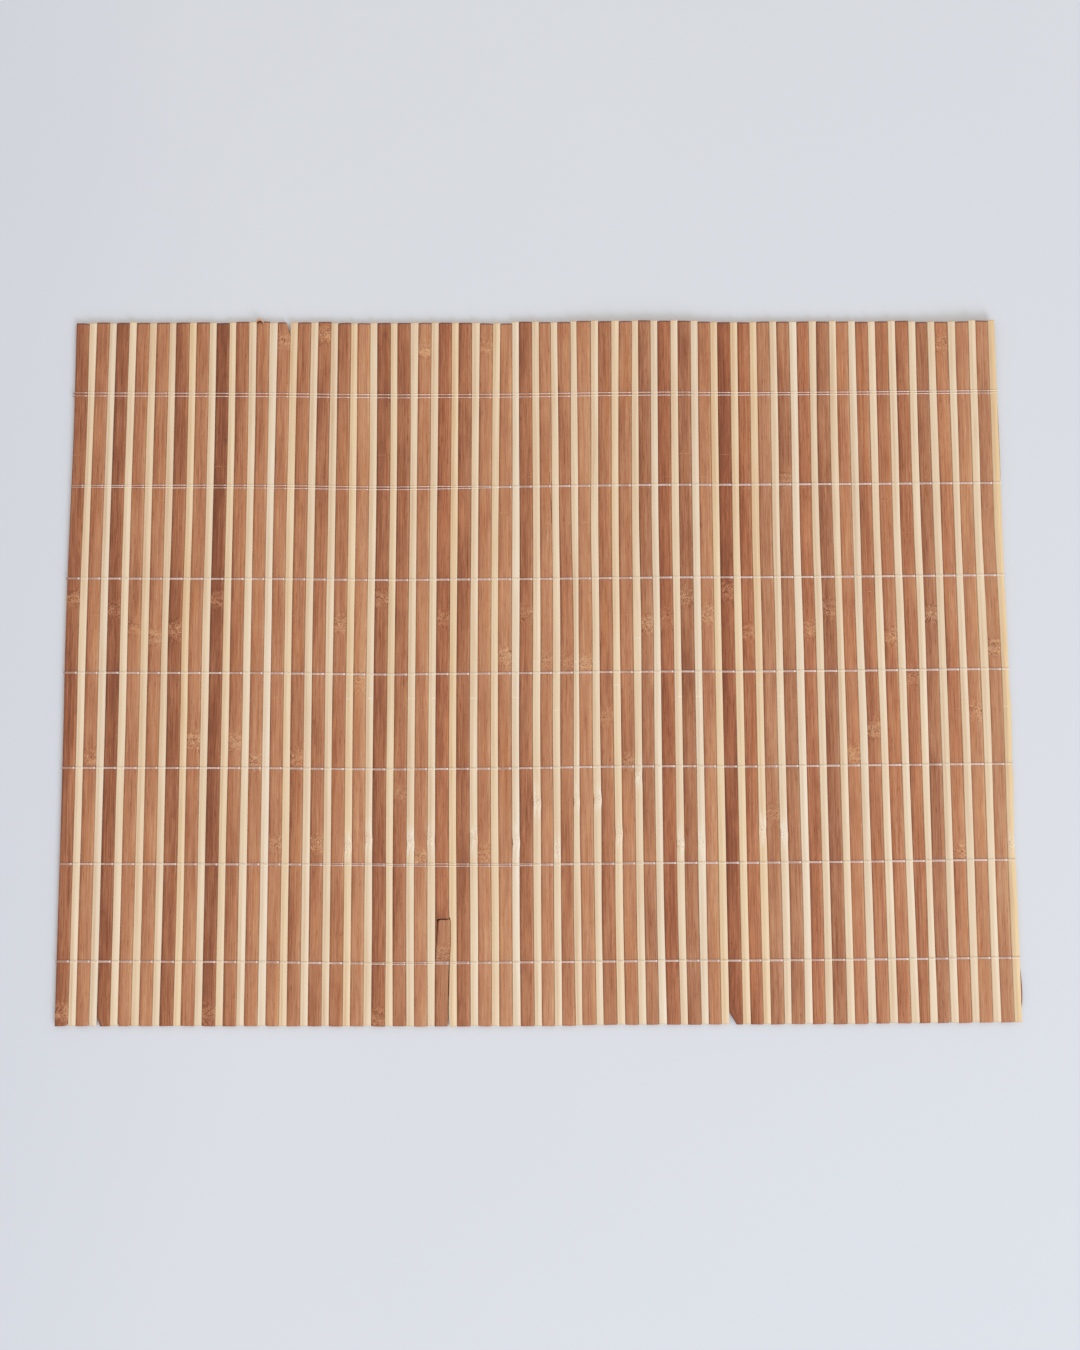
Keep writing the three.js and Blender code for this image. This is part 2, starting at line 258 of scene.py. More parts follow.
LAST_SECTION = np.array([
    (1, -0.35, 0, 0), (1, -0.05, 0, 0.35), (1, 0, 1, -0.95), (1, -0.06, 1, -0.72), (1, -0.25, 1, -0.45),
    (1, -0.6, 1, -0.2), (0.62, 0, 1, -0.05), (0.47, 0, 1, 0), (0.38, 0, 1, -0.02), (0, 0.5, 1, -0.1),
    (0, 0.12, 1, -0.25), (0, 0, 1, -0.45), (0, 0, 0, 0.3), (0, 0.25, 0, 0),
])


class Strips:
    """Strips that are joined into one mesh."""

    def __init__(self):
        self.points, self.faces, self.ends, self.kinds = [], [], [], []
        self.lie, self.look, self.edge = [], [], []
        self.count = 0

    def add(self, down, y, left, right, low, top, section, seed, tone, red, knots, hand=0.0, roll=0.0, torn=None, kinds=(1, 1)):
        f, inset, share, up = section.T
        n, m = len(down), len(section)
        x = left[:, None] * (1 - f) + right[:, None] * f + inset
        z = low[:, None] * (1 - share) + top[:, None] * share + up
        z = z + roll * (x - (left + right)[:, None] / 2) * share
        # the cut ends are eased a little
        for i, toward in ((0, 1), (n - 1, n - 2)):
            x[i] += (x[toward].mean() - x[i]) * 0.025
            z[i] += (z[toward].mean() - z[i]) * 0.06
        yy = np.repeat(y[:, None], m, 1)
        rng = np.random.RandomState(int(seed * 10) + 9000)
        mid = (left + right)[:, None] / 2
        for i, way in ((slice(0, 3), 1), (slice(n - 3, n), -1)):
            off = x[i] - mid[i]
            yy[i] += rng.uniform(-0.03, 0.03) * off
            side = rng.choice([-1, 1])
            yy[i] -= way * rng.choice([0, 0, 0.12, 0.3]) * np.clip(side * off / 2.8 - 0.45, 0, 1)
            if torn and way == torn[0]:  # how far a torn end stands out along Y, from left to right
                share_ = (x[i] - left[i][:, None]) / (right - left)[i][:, None]
                yy[i] += np.interp(share_, np.linspace(0, 1, len(torn[1])), torn[1])
        self.points.append(np.stack([x, yy, z], -1).reshape(-1, 3))
        round_ = np.concatenate([[0], np.cumsum(np.hypot(np.diff(x[n // 2]), np.diff(z[n // 2])))])
        self.lie.append(np.stack([np.tile(round_, (n, 1)), np.repeat(down[:, None], m, 1), np.full((n, m), seed)], -1).reshape(-1, 3))
        near_knot = np.repeat(mark(down, knots)[:, None], m, 1)
        self.look.append(np.stack([np.zeros((n, m)) + np.reshape(tone, (-1, 1)), np.full((n, m), red), near_knot], -1).reshape(-1, 3))
        end = np.repeat(np.minimum(down - down[0], down[-1] - down)[:, None], m, 1)
        across = (x - left[:, None]) / (right - left)[:, None]
        self.edge.append(np.stack([across, end, np.full((n, m), hand)], -1).reshape(-1, 3))
        s, p = np.meshgrid(np.arange(n - 1), np.arange(m), indexing="ij")
        a, b = s * m + p, s * m + (p + 1) % m
        self.faces.append(self.count + np.stack([a, b, b + m, a + m], -1).reshape(-1, 4))
        ring = self.count + np.arange(m)
        self.ends.append(ring[::-1].tolist())
        self.ends.append((ring + (n - 1) * m).tolist())
        self.kinds += kinds
        self.count += n * m

    def sliver(self, path, wide, thick, seed, tone, red, hand=0.0):
        """A loose fibre along a path of (X, Y, Z), with a width at each point."""
        path, wide = np.asarray(path, float), np.asarray(wide, float)
        n, turn = len(path), np.arange(6) / 6 * 2 * math.pi
        way = np.gradient(path[:, :2], axis=0)
        way /= np.linalg.norm(way, axis=1)[:, None]
        side = np.stack([way[:, 1], -way[:, 0]], -1)
        ring = np.repeat(path[:, None, :], 6, 1)
        ring[:, :, :2] += side[:, None, :] * (wide[:, None] / 2 * np.cos(turn))[:, :, None]
        ring[:, :, 2] += np.minimum(thick, wide)[:, None] / 2 * np.sin(turn)
        self.points.append(ring.reshape(-1, 3))
        run = np.concatenate([[0], np.cumsum(np.linalg.norm(np.diff(path, axis=0), axis=1))])
        plain = np.ones((n, 6))
        self.lie.append(np.stack([plain * turn / 3, plain * run[:, None], plain * seed], -1).reshape(-1, 3))
        self.look.append(np.stack([plain * tone, plain * red, plain * 60], -1).reshape(-1, 3))
        self.edge.append(np.stack([plain * 0.5, plain * 5, plain * hand], -1).reshape(-1, 3))
        s, p = np.meshgrid(np.arange(n - 1), np.arange(6), indexing="ij")
        a, b = s * 6 + p, s * 6 + (p + 1) % 6
        self.faces.append(self.count + np.stack([a, b, b + 6, a + 6], -1).reshape(-1, 4))
        self.ends.append((self.count + np.arange(6))[::-1].tolist())
        self.ends.append((self.count + (n - 1) * 6 + np.arange(6)).tolist())
        self.kinds += (0, 0)
        self.count += n * 6

    def build(self, name, side, end):
        faces = np.concatenate(self.faces).tolist()
        mesh = bpy.data.meshes.new(name)
        mesh.from_pydata((np.concatenate(self.points) * MM).tolist(), [], faces + self.ends)
        mesh.materials.append(side)
        mesh.materials.append(end)
        which = np.zeros(len(mesh.polygons), np.int32)
        which[len(faces):] = self.kinds
        mesh.polygons.foreach_set("material_index", which)
        mesh.polygons.foreach_set("use_smooth", np.arange(len(which)) < len(faces))
        for key, rows in (("lie", self.lie), ("look", self.look), ("edge", self.edge)):
            made = mesh.attributes.new(key, "FLOAT_VECTOR", "POINT")
            made.data.foreach_set("vector", np.concatenate(rows).astype(np.float32).ravel())
        mesh.update()
        o = bpy.data.objects.new(name, mesh)
        bpy.context.scene.collection.objects.link(o)
        return o


def stations(start, stop, extra=()):
    """Places along a strip: every 5 mm, closer at its ends and at the extra places."""
    places = list(np.arange(start + 6, stop - 5, 5.0))
    places += [start, start + 0.1, start + 0.5, start + 1.2, start + 3, stop, stop - 0.1, stop - 0.5, stop - 1.2, stop - 3]
    for e in extra:
        places += [e + d for d in (-4, -2.6, -1.6, -0.8, 0, 0.8, 1.6, 2.6, 4) if start + 0.6 < e + d < stop - 0.6]
    places = np.array(sorted(places))
    return places[np.concatenate([[True], np.diff(places) > 0.08])]


def knot_places(k, places, x):
    """mm from the far end of the knots at these Y."""
    return [150 - y + float(end_shift(x, 150 - y)) for y in places]


def inset(table, k, down):
    if k not in table:
        return 0.0
    at, by = zip(*table[k])
    return np.interp(down, at, by)


def brown_line(k, down):
    """Left edge, right edge, underside and top of brown slat k."""
    rng = np.random.RandomState(100 + k)
    left, right = edges(k, down)
    middle = -200 + PITCH * k + 3
    rise = lift(middle, down) + wave(rng, down, 0.03, 90)
    ease = np.interp(down, (0, 30, 270, 300), (1.0, 0.3, 0.3, 1.0)) * rng.uniform(-0.03, 0.09)
    top = BROWN_TOP + rise + ease
    low = BROWN_LOW + rise + ease
    return left + 0.37, right - 0.15, low, top


def pale_line(k, down):
    """The same of the pale splint to the right of brown slat k."""
    rng = np.random.RandomState(300 + k)
    left = edges(k, down)[1]
    if k < PAIRS - 1:
        right = edges(k + 1, down)[0]
    else:
        right = 199.6 - 0.345 * lift(200, down) + wave(rng, down, 0.12, 120) + np.interp(down, LAST_AT, LAST_OUT)
    if k == 18:  # pushed aside by the broken slat
        left = left + np.interp(down, (252, 255.2, 256.8, 266, 272, 277, 286, 291, 296, 300), (0, 0.1, 0.78, 0.85, 0.5, 0.32, 0.22, 0.02, 0.12, 0.4))
    middle = -200 + PITCH * k + 7.3
    rise = lift(middle, down) + wave(rng, down, 0.05, 70)
    return left - 0.09, right + 0.31, PALE_LOW + rise, PALE_TOP + rise + wave(rng, down, 0.03, 23)


def build_slats(side, end):
    made = Strips()
    for k in range(PAIRS):
        tone, red, _, _, knots, _, ends, _ = SLATS[k]
        tone *= 0.08
        rng = np.random.RandomState(500 + k)
        seed = 10.0 * k + rng.uniform(0, 5)
        x = -200 + PITCH * k + 3
        places = knot_places(k, knots, x)
        far, near = ends[0], LENGTH - ends[1]
        parts = [(far, near)] if k != 18 else [(far, 255.6), (256.6, near - 0.2)]
        extra = list(places)
        if k in LEFT_IN or k in RIGHT_IN:
            extra += [p for p, _ in LEFT_IN.get(k, ()) + RIGHT_IN.get(k, ())]
        for number, (start, stop) in enumerate(parts):
            down = stations(start, stop, extra)
            left, right, low, top = brown_line(k, down)
            left = left + inset(LEFT_IN, k, down)
            right = right - inset(RIGHT_IN, k, down)
            roll, torn, kinds = rng.uniform(-0.008, 0.008), None, (1, 1)
            if k == 18 and number == 0:
                torn, kinds = (-1, (-0.7, -0.6, -0.3, 0.0, 0.15, 0.2, -0.1, -0.9)), (1, 0)
            if number == 1:  # the broken piece, turned a little in its place
                middle = np.interp(down, (256.6, 268.3, 274.3, 276.4, 287.5, 300), (-38.74, -39.16, -39.52, -39.85, -40.08, -40.26))
                width = np.interp(down, (256.6, 268.3, 274.3, 276.4, 287.5, 300), (5.25, 6.08, 6.0, 5.62, 5.68, 5.78))
                left, right = np.maximum(middle - width / 2, left), middle + width / 2
                sink = np.interp(down, (257, 275, 300), (-0.25, -0.1, 0.0))
                low, top, roll, red = low + sink, top + sink, -0.03, -0.8
                tone = np.interp(down, (257, 272, 285), (0.74, 0.5, 0.3))
                places = [270.0]
                torn, kinds = (1, (-0.1, 0.0, 0.1, 0.05, -0.1, 0.0, 0.15, 0.2)), (0, 1)
            d = mark(down, places)
            top = top + 0.1 * np.exp(-((d / 1.5) ** 2)) - 0.05 * np.exp(-(((d - 3.4) / 1.5) ** 2))
            y = 150 - down + end_shift(x, down) + RECENTRE
            made.add(down, y, left, right, low, top, BROWN_SECTION, seed, tone, red, places, 0.0, roll, torn, kinds)
    # what is left of the broken slat: its left side, split off, and its underside, kept at the darkest tone and near
    # black under the break itself: painted shade in the gap
    down = np.array([254.5, 256, 259, 263, 266, 268.4])
    y = 150 - down + end_shift(-42, down) + RECENTRE
    left = brown_line(18, down)[0] + 0.06
    right = np.interp(down, (254, 257, 262, 266, 268.4), (-41.8, -41.95, -42.15, -42.32, -42.4))
    made.sliver(np.stack([(left + right) / 2, y, np.linspace(1.35, 1.1, 6)], -1), right - left, 0.4, 12.1, 0.3, 1.0)
    for start, stop, left, right, top, gap_shade in (
        (254.2, 257.6, -42.75, -36.4, 0.7, 1.0), (257.6, 271.0, -42.75, -36.4, 1.05, 0.0), (270.0, 287.8, -42.6, -36.6, 0.75, 0.0)
    ):
        down = stations(start, stop)
        flat = np.full(len(down), 1.0)
        made.add(down, 150 - down + end_shift(-40, down) + RECENTRE, left * flat, right * flat, 0.4 * flat, top * flat,
                 BROWN_SECTION, 7.3, -0.3, 1.0, [], gap_shade, 0.0)
    # a shaving that stands up in an arch on a cut end, and the dip that it left, drawn as a dark patch: painted shade
    # in the dip
    made.sliver([(-121.75, 149.1, 1.7), (-121.4, 149.9, 2.0), (-120.8, 150.55, 2.3), (-120.1, 150.85, 2.5),
                 (-119.4, 150.6, 2.4), (-118.8, 150.0, 2.1), (-118.3, 149.2, 1.75)],
                (0.35, 0.6, 0.75, 0.8, 0.65, 0.5, 0.3), 0.35, 91.3, 1.4, 0.0)
    made.sliver([(-121.4, 149.4, 1.72), (-120.6, 149.75, 1.78), (-119.5, 149.75, 1.78), (-118.6, 149.35, 1.72)],
                (0.5, 1.35, 1.3, 0.5), 0.12, 92.3, -0.5, 1.0)
    made.sliver([(-120.9, 148.7, 1.76), (-120.2, 148.95, 1.84), (-119.5, 148.9, 1.84), (-118.9, 148.65, 1.76)],
                (0.2, 0.45, 0.45, 0.2), 0.15, 93.3, 1.0, 0.3)
    # dark splits near the right edge of slat 23
    for k, split in ((23, ((67.0, 0.95), (69.5, 1.0), (72.2, 0.8))), (23, ((76.5, 0.6), (81.0, 0.35), (86.0, 0.3), (89.5, 0.2)))):
        down, off = (np.array(a) for a in zip(*split))
        _, right, _, top = brown_line(k, down)
        y = 150 - down + end_shift(5, down) + RECENTRE
        made.sliver(np.stack([right - off, y, top + 0.0], -1), np.interp(np.arange(len(down)), (0, 1, len(down) - 1), (0.08, 0.3, 0.12)),
                    0.08, 37.1 + down[0], -0.8, 1.0)
    # brown fibres along the outer side of the last splint
    down = np.linspace(37, 71, 9)
    out = 199.6 - 0.345 * lift(200, down) + 0.12
    y = 150 - down + end_shift(200, down) + RECENTRE
    made.sliver(np.stack([out, y, 1.3 + lift(200, down)], -1), np.interp(down, (37, 48, 66, 71), (0.15, 0.4, 0.5, 0.3)), 0.5, 61.7, 0.1, 0.6)
    made.sliver([(199.9, -124.6, 1.2), (200.35, -129.0, 1.2), (200.62, -133.5, 1.2), (200.74, -138.0, 1.2),
                 (200.6, -141.5, 1.2), (200.2, -144.6, 1.2)], (0.25, 0.4, 0.45, 0.5, 0.4, 0.2), 0.5, 62.9, 0.1, 0.6)
    return made.build("brown_slats", side, end)


def build_splints(side, end):
    made = Strips()
    for k in range(PAIRS):
        splint, ends = SLATS[k][5], SLATS[k][7]
        rng = np.random.RandomState(700 + k)
        seed = 10.0 * k + 5 + rng.uniform(0, 4)
        x = -200 + PITCH * k + 7.3
        places = knot_places(k, splint, x)
        down = stations(ends[0], LENGTH - ends[1], places + ([255.9] if k == 18 else []))
        left, right, low, top = pale_line(k, down)
        d = mark(down, places)
        top = top + 0.16 * np.exp(-((d / 1.8) ** 2))
        y = 150 - down + end_shift(x, down) + RECENTRE
        last = k == PAIRS - 1
        tone = 0.48 + 0.6 * float(np.clip(rng.normal(0.0, 0.16), -0.4, 0.4)) + 0.2 * (k in LIGHT) - 0.2 * (k in DULL)
        warm = 0.15 * rng.uniform(-1, 1) + 0.9 * (k in YELLOW) + 0.5 * (k in BUTTER) - 0.8 * (k in WHITE)
        made.add(down, y, left, right, low, top, LAST_SECTION if last else PALE_SECTION, seed, tone,
                 warm, places, 1.0 if last else 0.0, rng.uniform(-0.03, 0.03))
    return made.build("pale_splints", side, end)


# ---- thread ------------------------------------------------------------------


def strip_at(kind, k, down):
    line = brown_line if kind == "brown" else pale_line
    left, right, low, top = (float(a[0]) for a in line(k, np.array([down])))
    if kind == "brown" and k == 18 and down > 257:
        left, right = -42.3, -36.7
        top -= 0.1
    return left, right, low, top


def strand_path(row, over, across):
    """One strand of a twined pair: over the brown slats or over the pale splints."""
    y0, slats, gaps = ROWS[row]
    points = []

    def put(x, k, z, thin, twist, light=0.0):
        wander = np.interp(k, ROW_SLAT, ROW_SHIFT) + np.interp(k, MORE_SLAT, ROW_MORE[row])
        apart = np.interp(k, slats, gaps)
        y = y0 + wander + RECENTRE + across * apart / 2 + twist
        points.append((x, y, z, thin, light))

    down0 = 150 - y0
    t = STRAND
    way = 1 if over == "brown" else -1
    for k in range(PAIRS):
        for half, kind in enumerate(("brown", "pale")):
            down = down0 - float(np.interp(k, ROW_SLAT, ROW_SHIFT))
            left, right, low, top = strip_at(kind, k, down)
            kk = k + (0.35 if kind == "brown" else 0.85)
            t = STRAND if over == "brown" else 0.11  # a strand lies flatter over a splint
            soft = 0.15 if kind == "brown" else 0.3  # how far the arris falls
            mid = (low + top) / 2
            if kind == over:
                if k == 0 and kind == "brown":
                    put(left + 0.9, kk, low - t, t, 0)
                    put(left + 0.15, kk, low - t * 0.9, t, 0)
                    put(left - 0.16 - LOOP_OUT[row] * 0.7, kk, low + 0.35, t, 0)
                    put(left - 0.17 - LOOP_OUT[row], kk, mid + 0.25, t, 0)
                else:
                    put(left - 0.06, kk - 0.3, mid, 0.05, 0.05 * way)
                put(left - 0.05, kk - 0.25, top - soft - 0.12, 0.07, 0.03 * way)
                put(left + 0.07, kk - 0.2, top - soft + 0.16, t * 0.9, 0)
                put(left + 0.3, kk - 0.15, top + t * 0.75 - (soft - 0.1) * 0.3, t, 0)
                put(left * 0.78 + right * 0.22, kk - 0.1, top + t, t, 0)
                put((left + right) / 2, kk, top + t + 0.015, t, 0)
                put(left * 0.22 + right * 0.78, kk + 0.1, top + t, t, 0)
                if over == "brown":  # painted highlight where it turns down, and painted shade below that, where the brown below shows through the clear thread
                    put(right - 0.8, kk + 0.12, top + t, t, 0, 1.0)
                    put(right - 0.42, kk + 0.14, top + t * 0.9, t, 0, 1.0)
                    put(right - 0.3, kk + 0.15, top + t * 0.75, t, 0, -1.0)
                else:
                    put(right - 0.3, kk + 0.15, top + t * 0.75 - (soft - 0.1) * 0.3, t, 0, 1.0)
                put(right - 0.07, kk + 0.2, top - soft + 0.16, t * 0.9, 0, -1.0)
                put(right + 0.05, kk + 0.25, top - soft - 0.12, 0.07, -0.03 * way, -1.0)
                if k == PAIRS - 1 and kind == "pale":
                    put(right + 0.17, kk, mid, t, 0)
                    put(right + 0.1, kk, low + 0.05, t, 0)
                    put(right - 0.3, kk, low - t, t, 0)
                    put(right - 0.8, kk, low - t, t, 0)
            else:
                if k == 0 and kind == "brown":
                    put(left + 0.5, kk, low - t, t, 0)
                else:
                    put(left - 0.04, kk - 0.3, low + 0.25, 0.06, -0.02 * way)
                    put(left + 0.25, kk - 0.2, low - t * 0.8, t, 0)
                put((left + right) / 2, kk, low - t, t, 0)
                if k < PAIRS - 1 or kind == "brown":
                    put(right - 0.25, kk + 0.2, low - t * 0.8, t, 0)
                    put(right + 0.04, kk + 0.3, low + 0.25, 0.06, 0.02 * way)
                else:
                    put(right - 0.4, kk, low - t, t, 0)
    return np.array(points)


def build_row(row, material):
    points, faces, looks, count = [], [], [], 0
    sides = 6
    turn = np.arange(sides) / sides * 2 * math.pi
    for across in (-1, 1):
        for over in ("brown", "pale"):
            path = strand_path(row, over, across)
            middle, thin = path[:, :3], path[:, 3]
            middle[:, 2] = np.maximum(middle[:, 2], thin * 0.9 + 0.02)
            way = np.gradient(middle[:, [0, 2]], axis=0)
            way /= np.linalg.norm(way, axis=1)[:, None] + 1e-9
            up = np.stack([-way[:, 1], np.zeros(len(way)), way[:, 0]], -1)
            wide = np.where(thin < 0.1, STRAND * 1.1, STRAND if over == "brown" else 0.13)
            ring = middle[:, None, :] + up[:, None, :] * (thin[:, None] * np.sin(turn))[:, :, None]
            ring[:, :, 1] += wide[:, None] * np.cos(turn)
            n = len(path)
            points.append(ring.reshape(-1, 3))
            kind = np.full(n, 0.0 if over == "brown" else 1.0)
            looks.append(np.repeat(np.stack([kind, path[:, 4], path[:, 0]], -1), sides, 0))
            s, p = np.meshgrid(np.arange(n - 1), np.arange(sides), indexing="ij")
            a, b = s * sides + p, s * sides + (p + 1) % sides
            faces += (count + np.stack([a, a + sides, b + sides, b], -1).reshape(-1, 4)).tolist()
            ring_ = count + np.arange(sides)
            faces.append(ring_.tolist())
            faces.append((ring_ + (n - 1) * sides)[::-1].tolist())
            count += n * sides
    name = f"thread_row_{row + 1}_strands"
    mesh = bpy.data.meshes.new(name)
    mesh.from_pydata((np.concatenate(points) * MM).tolist(), [], faces)
    mesh.materials.append(material)
    mesh.polygons.foreach_set("use_smooth", np.ones(len(mesh.polygons), bool))
    made = mesh.attributes.new("look", "FLOAT_VECTOR", "POINT")
    made.data.foreach_set("vector", np.concatenate(looks).astype(np.float32).ravel())
    mesh.update()
    o = bpy.data.objects.new(name, mesh)
    bpy.context.scene.collection.objects.link(o)
    return o


# ---- materials ---------------------------------------------------------------


def rgb(r, g, b):
    """A colour in sRGB values of 0 to 255, made linear."""
    return tuple(c / 255 / 12.92 if c <= 10.31 else ((c / 255 + 0.055) / 1.055) ** 2.4 for c in (r, g, b)) + (1.0,)


class Nodes:
    def __init__(self, name):
        self.material = bpy.data.materials.new(name)
        self.material.use_nodes = True
        self.tree = self.material.node_tree
        self.tree.nodes.clear()

    def put(self, socket, value):
        if isinstance(value, bpy.types.NodeSocket):
            self.tree.links.new(value, socket)
        elif value is not None:
            socket.default_value = value

    def math(self, kind, a, b=None, c=None, clamp=False):
        n = self.tree.nodes.new("ShaderNodeMath")
        n.operation, n.use_clamp = kind, clamp
        for i, value in enumerate((a, b, c)):
            self.put(n.inputs[i], value)
        return n.outputs[0]

    def attribute(self, name):
        n = self.tree.nodes.new("ShaderNodeAttribute")
        n.attribute_name = name
        s = self.tree.nodes.new("ShaderNodeSeparateXYZ")
        self.put(s.inputs[0], n.outputs["Vector"])
        return s.outputs[0], s.outputs[1], s.outputs[2]

    def vector(self, x, y, z):
        n = self.tree.nodes.new("ShaderNodeCombineXYZ")
        for i, value in enumerate((x, y, z)):
            self.put(n.inputs[i], value)
        return n.outputs[0]

    def noise(self, x, y, z, detail=2.0, rough=0.5):
        n = self.tree.nodes.new("ShaderNodeTexNoise")
        self.put(n.inputs["Vector"], self.vector(x, y, z))
        n.inputs["Scale"].default_value = 1.0
        n.inputs["Detail"].default_value = detail
        n.inputs["Roughness"].default_value = rough
        return n.outputs[0]

    def reach(self, value, a, b, c=0.0, d=1.0, soft=True):
        n = self.tree.nodes.new("ShaderNodeMapRange")
        n.interpolation_type = "SMOOTHSTEP" if soft else "LINEAR"
        for key, v in (("Value", value), ("From Min", a), ("From Max", b), ("To Min", c), ("To Max", d)):
            self.put(n.inputs[key], v)
        return n.outputs[0]

    def ramp(self, value, stops):
        n = self.tree.nodes.new("ShaderNodeValToRGB")
        e = n.color_ramp.elements
        while len(e) < len(stops):
            e.new(0.5)
        for i, (at, colour) in enumerate(stops):
            e[i].position, e[i].color = at, colour
        self.put(n.inputs[0], value)
        return n.outputs[0]

    def mix(self, share, a, b, kind="MIX"):
        n = self.tree.nodes.new("ShaderNodeMix")
        n.data_type, n.blend_type = "RGBA", kind
        self.put(n.inputs["Factor"], share)
        self.put(n.inputs[6], a)
        self.put(n.inputs[7], b)
        return n.outputs[2]

    def sum(self, *terms):
        """The sum of numbers, sockets and (socket, middle, strength) terms."""
        total = None
        for t in terms:
            if isinstance(t, tuple):
                value, middle, strength = t
                t = self.math("MULTIPLY_ADD", value, strength, -middle * strength)
            total = t if total is None else self.math("ADD", total, t)
        return total

    def surface(self, colour, rough, ior=1.45, height=None, depth=0.0, bump=0.5, **sockets):
        n = self.tree.nodes.new("ShaderNodeBsdfPrincipled")
        self.put(n.inputs["Base Color"], colour)
        self.put(n.inputs["Roughness"], rough)
        n.inputs["IOR"].default_value = ior
        for key, value in sockets.items():
            n.inputs[key.replace("_", " ")].default_value = value
        if height is not None:
            b = self.tree.nodes.new("ShaderNodeBump")
            b.inputs["Strength"].default_value = bump
            b.inputs["Distance"].default_value = depth
            self.put(b.inputs["Height"], height)
            self.put(n.inputs["Normal"], b.outputs[0])
        out = self.tree.nodes.new("ShaderNodeOutputMaterial")
        self.put(out.inputs["Surface"], n.outputs[0])
        return self.material


def brown_bamboo():
    m = Nodes("brown_bamboo")
    u, v, seed = m.attribute("lie")
    tone, red, knot = m.attribute("look")
    across, end, gap_shade = m.attribute("edge")
    far = m.math("ABSOLUTE", knot)
    wobble = m.noise(m.math("MULTIPLY", u, 0.7), m.math("MULTIPLY", v, 0.45), seed, 2.0)
    far = m.sum(far, (wobble, 0.5, 3.0))
    near = m.reach(far, 0.8, 4.4, 1.0, 0.0)
    # the fibres swirl round a knot
    u2 = m.sum(u, m.math("MULTIPLY", m.sum((wobble, 0.5, 11.0)), m.reach(far, 0.5, 6.5, 1.0, 0.0)))

    def fibre(width, length, shift, detail=2.0):
        return m.noise(m.math("MULTIPLY", u2, 1 / width), m.math("MULTIPLY", v, 1 / length), m.math("ADD", seed, shift), detail)

    broad, band, fine = fibre(1.3, 70, 1.3), fibre(0.5, 28, 2.7), fibre(0.17, 9, 3.9, 3.0)
    cloud = m.noise(m.math("MULTIPLY", u, 0.16), m.math("MULTIPLY", v, 1 / 34), m.math("ADD", seed, 5.1), 2.0)
    dash = m.reach(fibre(0.26, 4.2, 6.3, 1.0), 0.6, 0.72)
    speck = m.reach(m.noise(m.math("MULTIPLY", u, 1.7), m.math("MULTIPLY", v, 1.5), m.math("ADD", seed, 7.7), 1.0), 0.6, 0.7)
    speck = m.math("MULTIPLY", speck, m.reach(far, 0.4, 2.2, 1.0, 0.0))
    power = m.reach(m.noise(m.math("MULTIPLY", seed, 0.73), 0.5, 0.5, 0.0), 0.35, 0.65, 0.65, 1.35, False)
    fan = m.sum(m.math("MULTIPLY", u2, 3.2), m.math("MULTIPLY", m.math("ABSOLUTE", knot), 1.5))
    ring = m.noise(fan, m.math("MULTIPLY", v, 0.6), m.math("ADD", seed, 11.3), 3.0)
    swirl = m.math("MULTIPLY", m.math("SUBTRACT", ring, 0.5), m.reach(far, 1.0, 6.0, 1.0, 0.0))
    swirl = m.math("MULTIPLY", swirl, power)
    near = m.math("MULTIPLY", near, power)
    value = m.sum(
        m.math("MULTIPLY_ADD", tone, 0.6, 0.2),
        (broad, 0.5, 0.33), (band, 0.5, 0.54), (fine, 0.5, 0.8), (cloud, 0.5, 0.5),
        # the v term at the end of the next line is painted light: lighter towards the near end, nearer the lamp
        (dash, 0.0, -0.18), (near, 0.0, 0.13), (speck, 0.0, -0.65), (swirl, 0.0, 2.6), (v, 150.0, 0.00017), -0.015,
        # painted light across the slat: lighter towards the right, a painted highlight along the right arris and
        # painted shade along the left edge
        (across, 0.5, 0.1), (m.reach(across, 0.76, 0.93), 0.0, 0.08), (m.reach(across, 0.2, 0.03), 0.0, -0.09),
    )
    colour = m.ramp(value, [
        (0.0, rgb(113, 57, 31)), (0.25, rgb(144, 84, 53)), (0.5, rgb(174, 115, 80)),
        (0.75, rgb(192, 138, 101)), (1.0, rgb(210, 165, 124)),
    ])
    orange = m.reach(fibre(0.8, 50, 8.9), 0.5, 0.68)
    colour = m.mix(m.math("MULTIPLY", orange, 0.8), colour, m.mix(1.0, colour, (1.06, 0.985, 0.79, 1.0), "MULTIPLY"))
    redder = m.mix(1.0, colour, (1.042, 0.965, 0.93, 1.0), "MULTIPLY")
    greyer = m.mix(1.0, colour, (0.972, 1.014, 1.075, 1.0), "MULTIPLY")
    hue = fibre(0.6, 26, 12.7)
    red = m.sum(red, (hue, 0.5, 4.5))
    colour = m.mix(m.reach(red, 0.0, 1.0, 0.0, 1.0, False), colour, redder)
    colour = m.mix(m.reach(red, 0.0, -1.0, 0.0, 1.0, False), colour, greyer)
    # a dark line at the cut ends, strongest at the far end: partly the cut's own darker edge, partly painted shade on
    # the ends that face away from the lamp
    dark = m.math("MULTIPLY", m.reach(end, 0.3, 0.8, 0.68, 0.0), m.reach(v, 60, 240, 1.0, 0.15))
    colour = m.mix(dark, colour, rgb(92, 44, 34))
    # painted shade: the piece under the break is painted near black
    colour = m.mix(m.math("MULTIPLY", gap_shade, 0.75), colour, rgb(38, 20, 12))
    rough = m.sum(0.56, (fine, 0.5, 0.35), (speck, 0.0, -0.15))
    height = m.sum((fine, 0.5, 0.7), (band, 0.5, 0.6), (dash, 0.0, -0.35), (speck, 0.0, 0.6))
    return m.surface(colour, rough, height=height, depth=0.00012, bump=0.6)


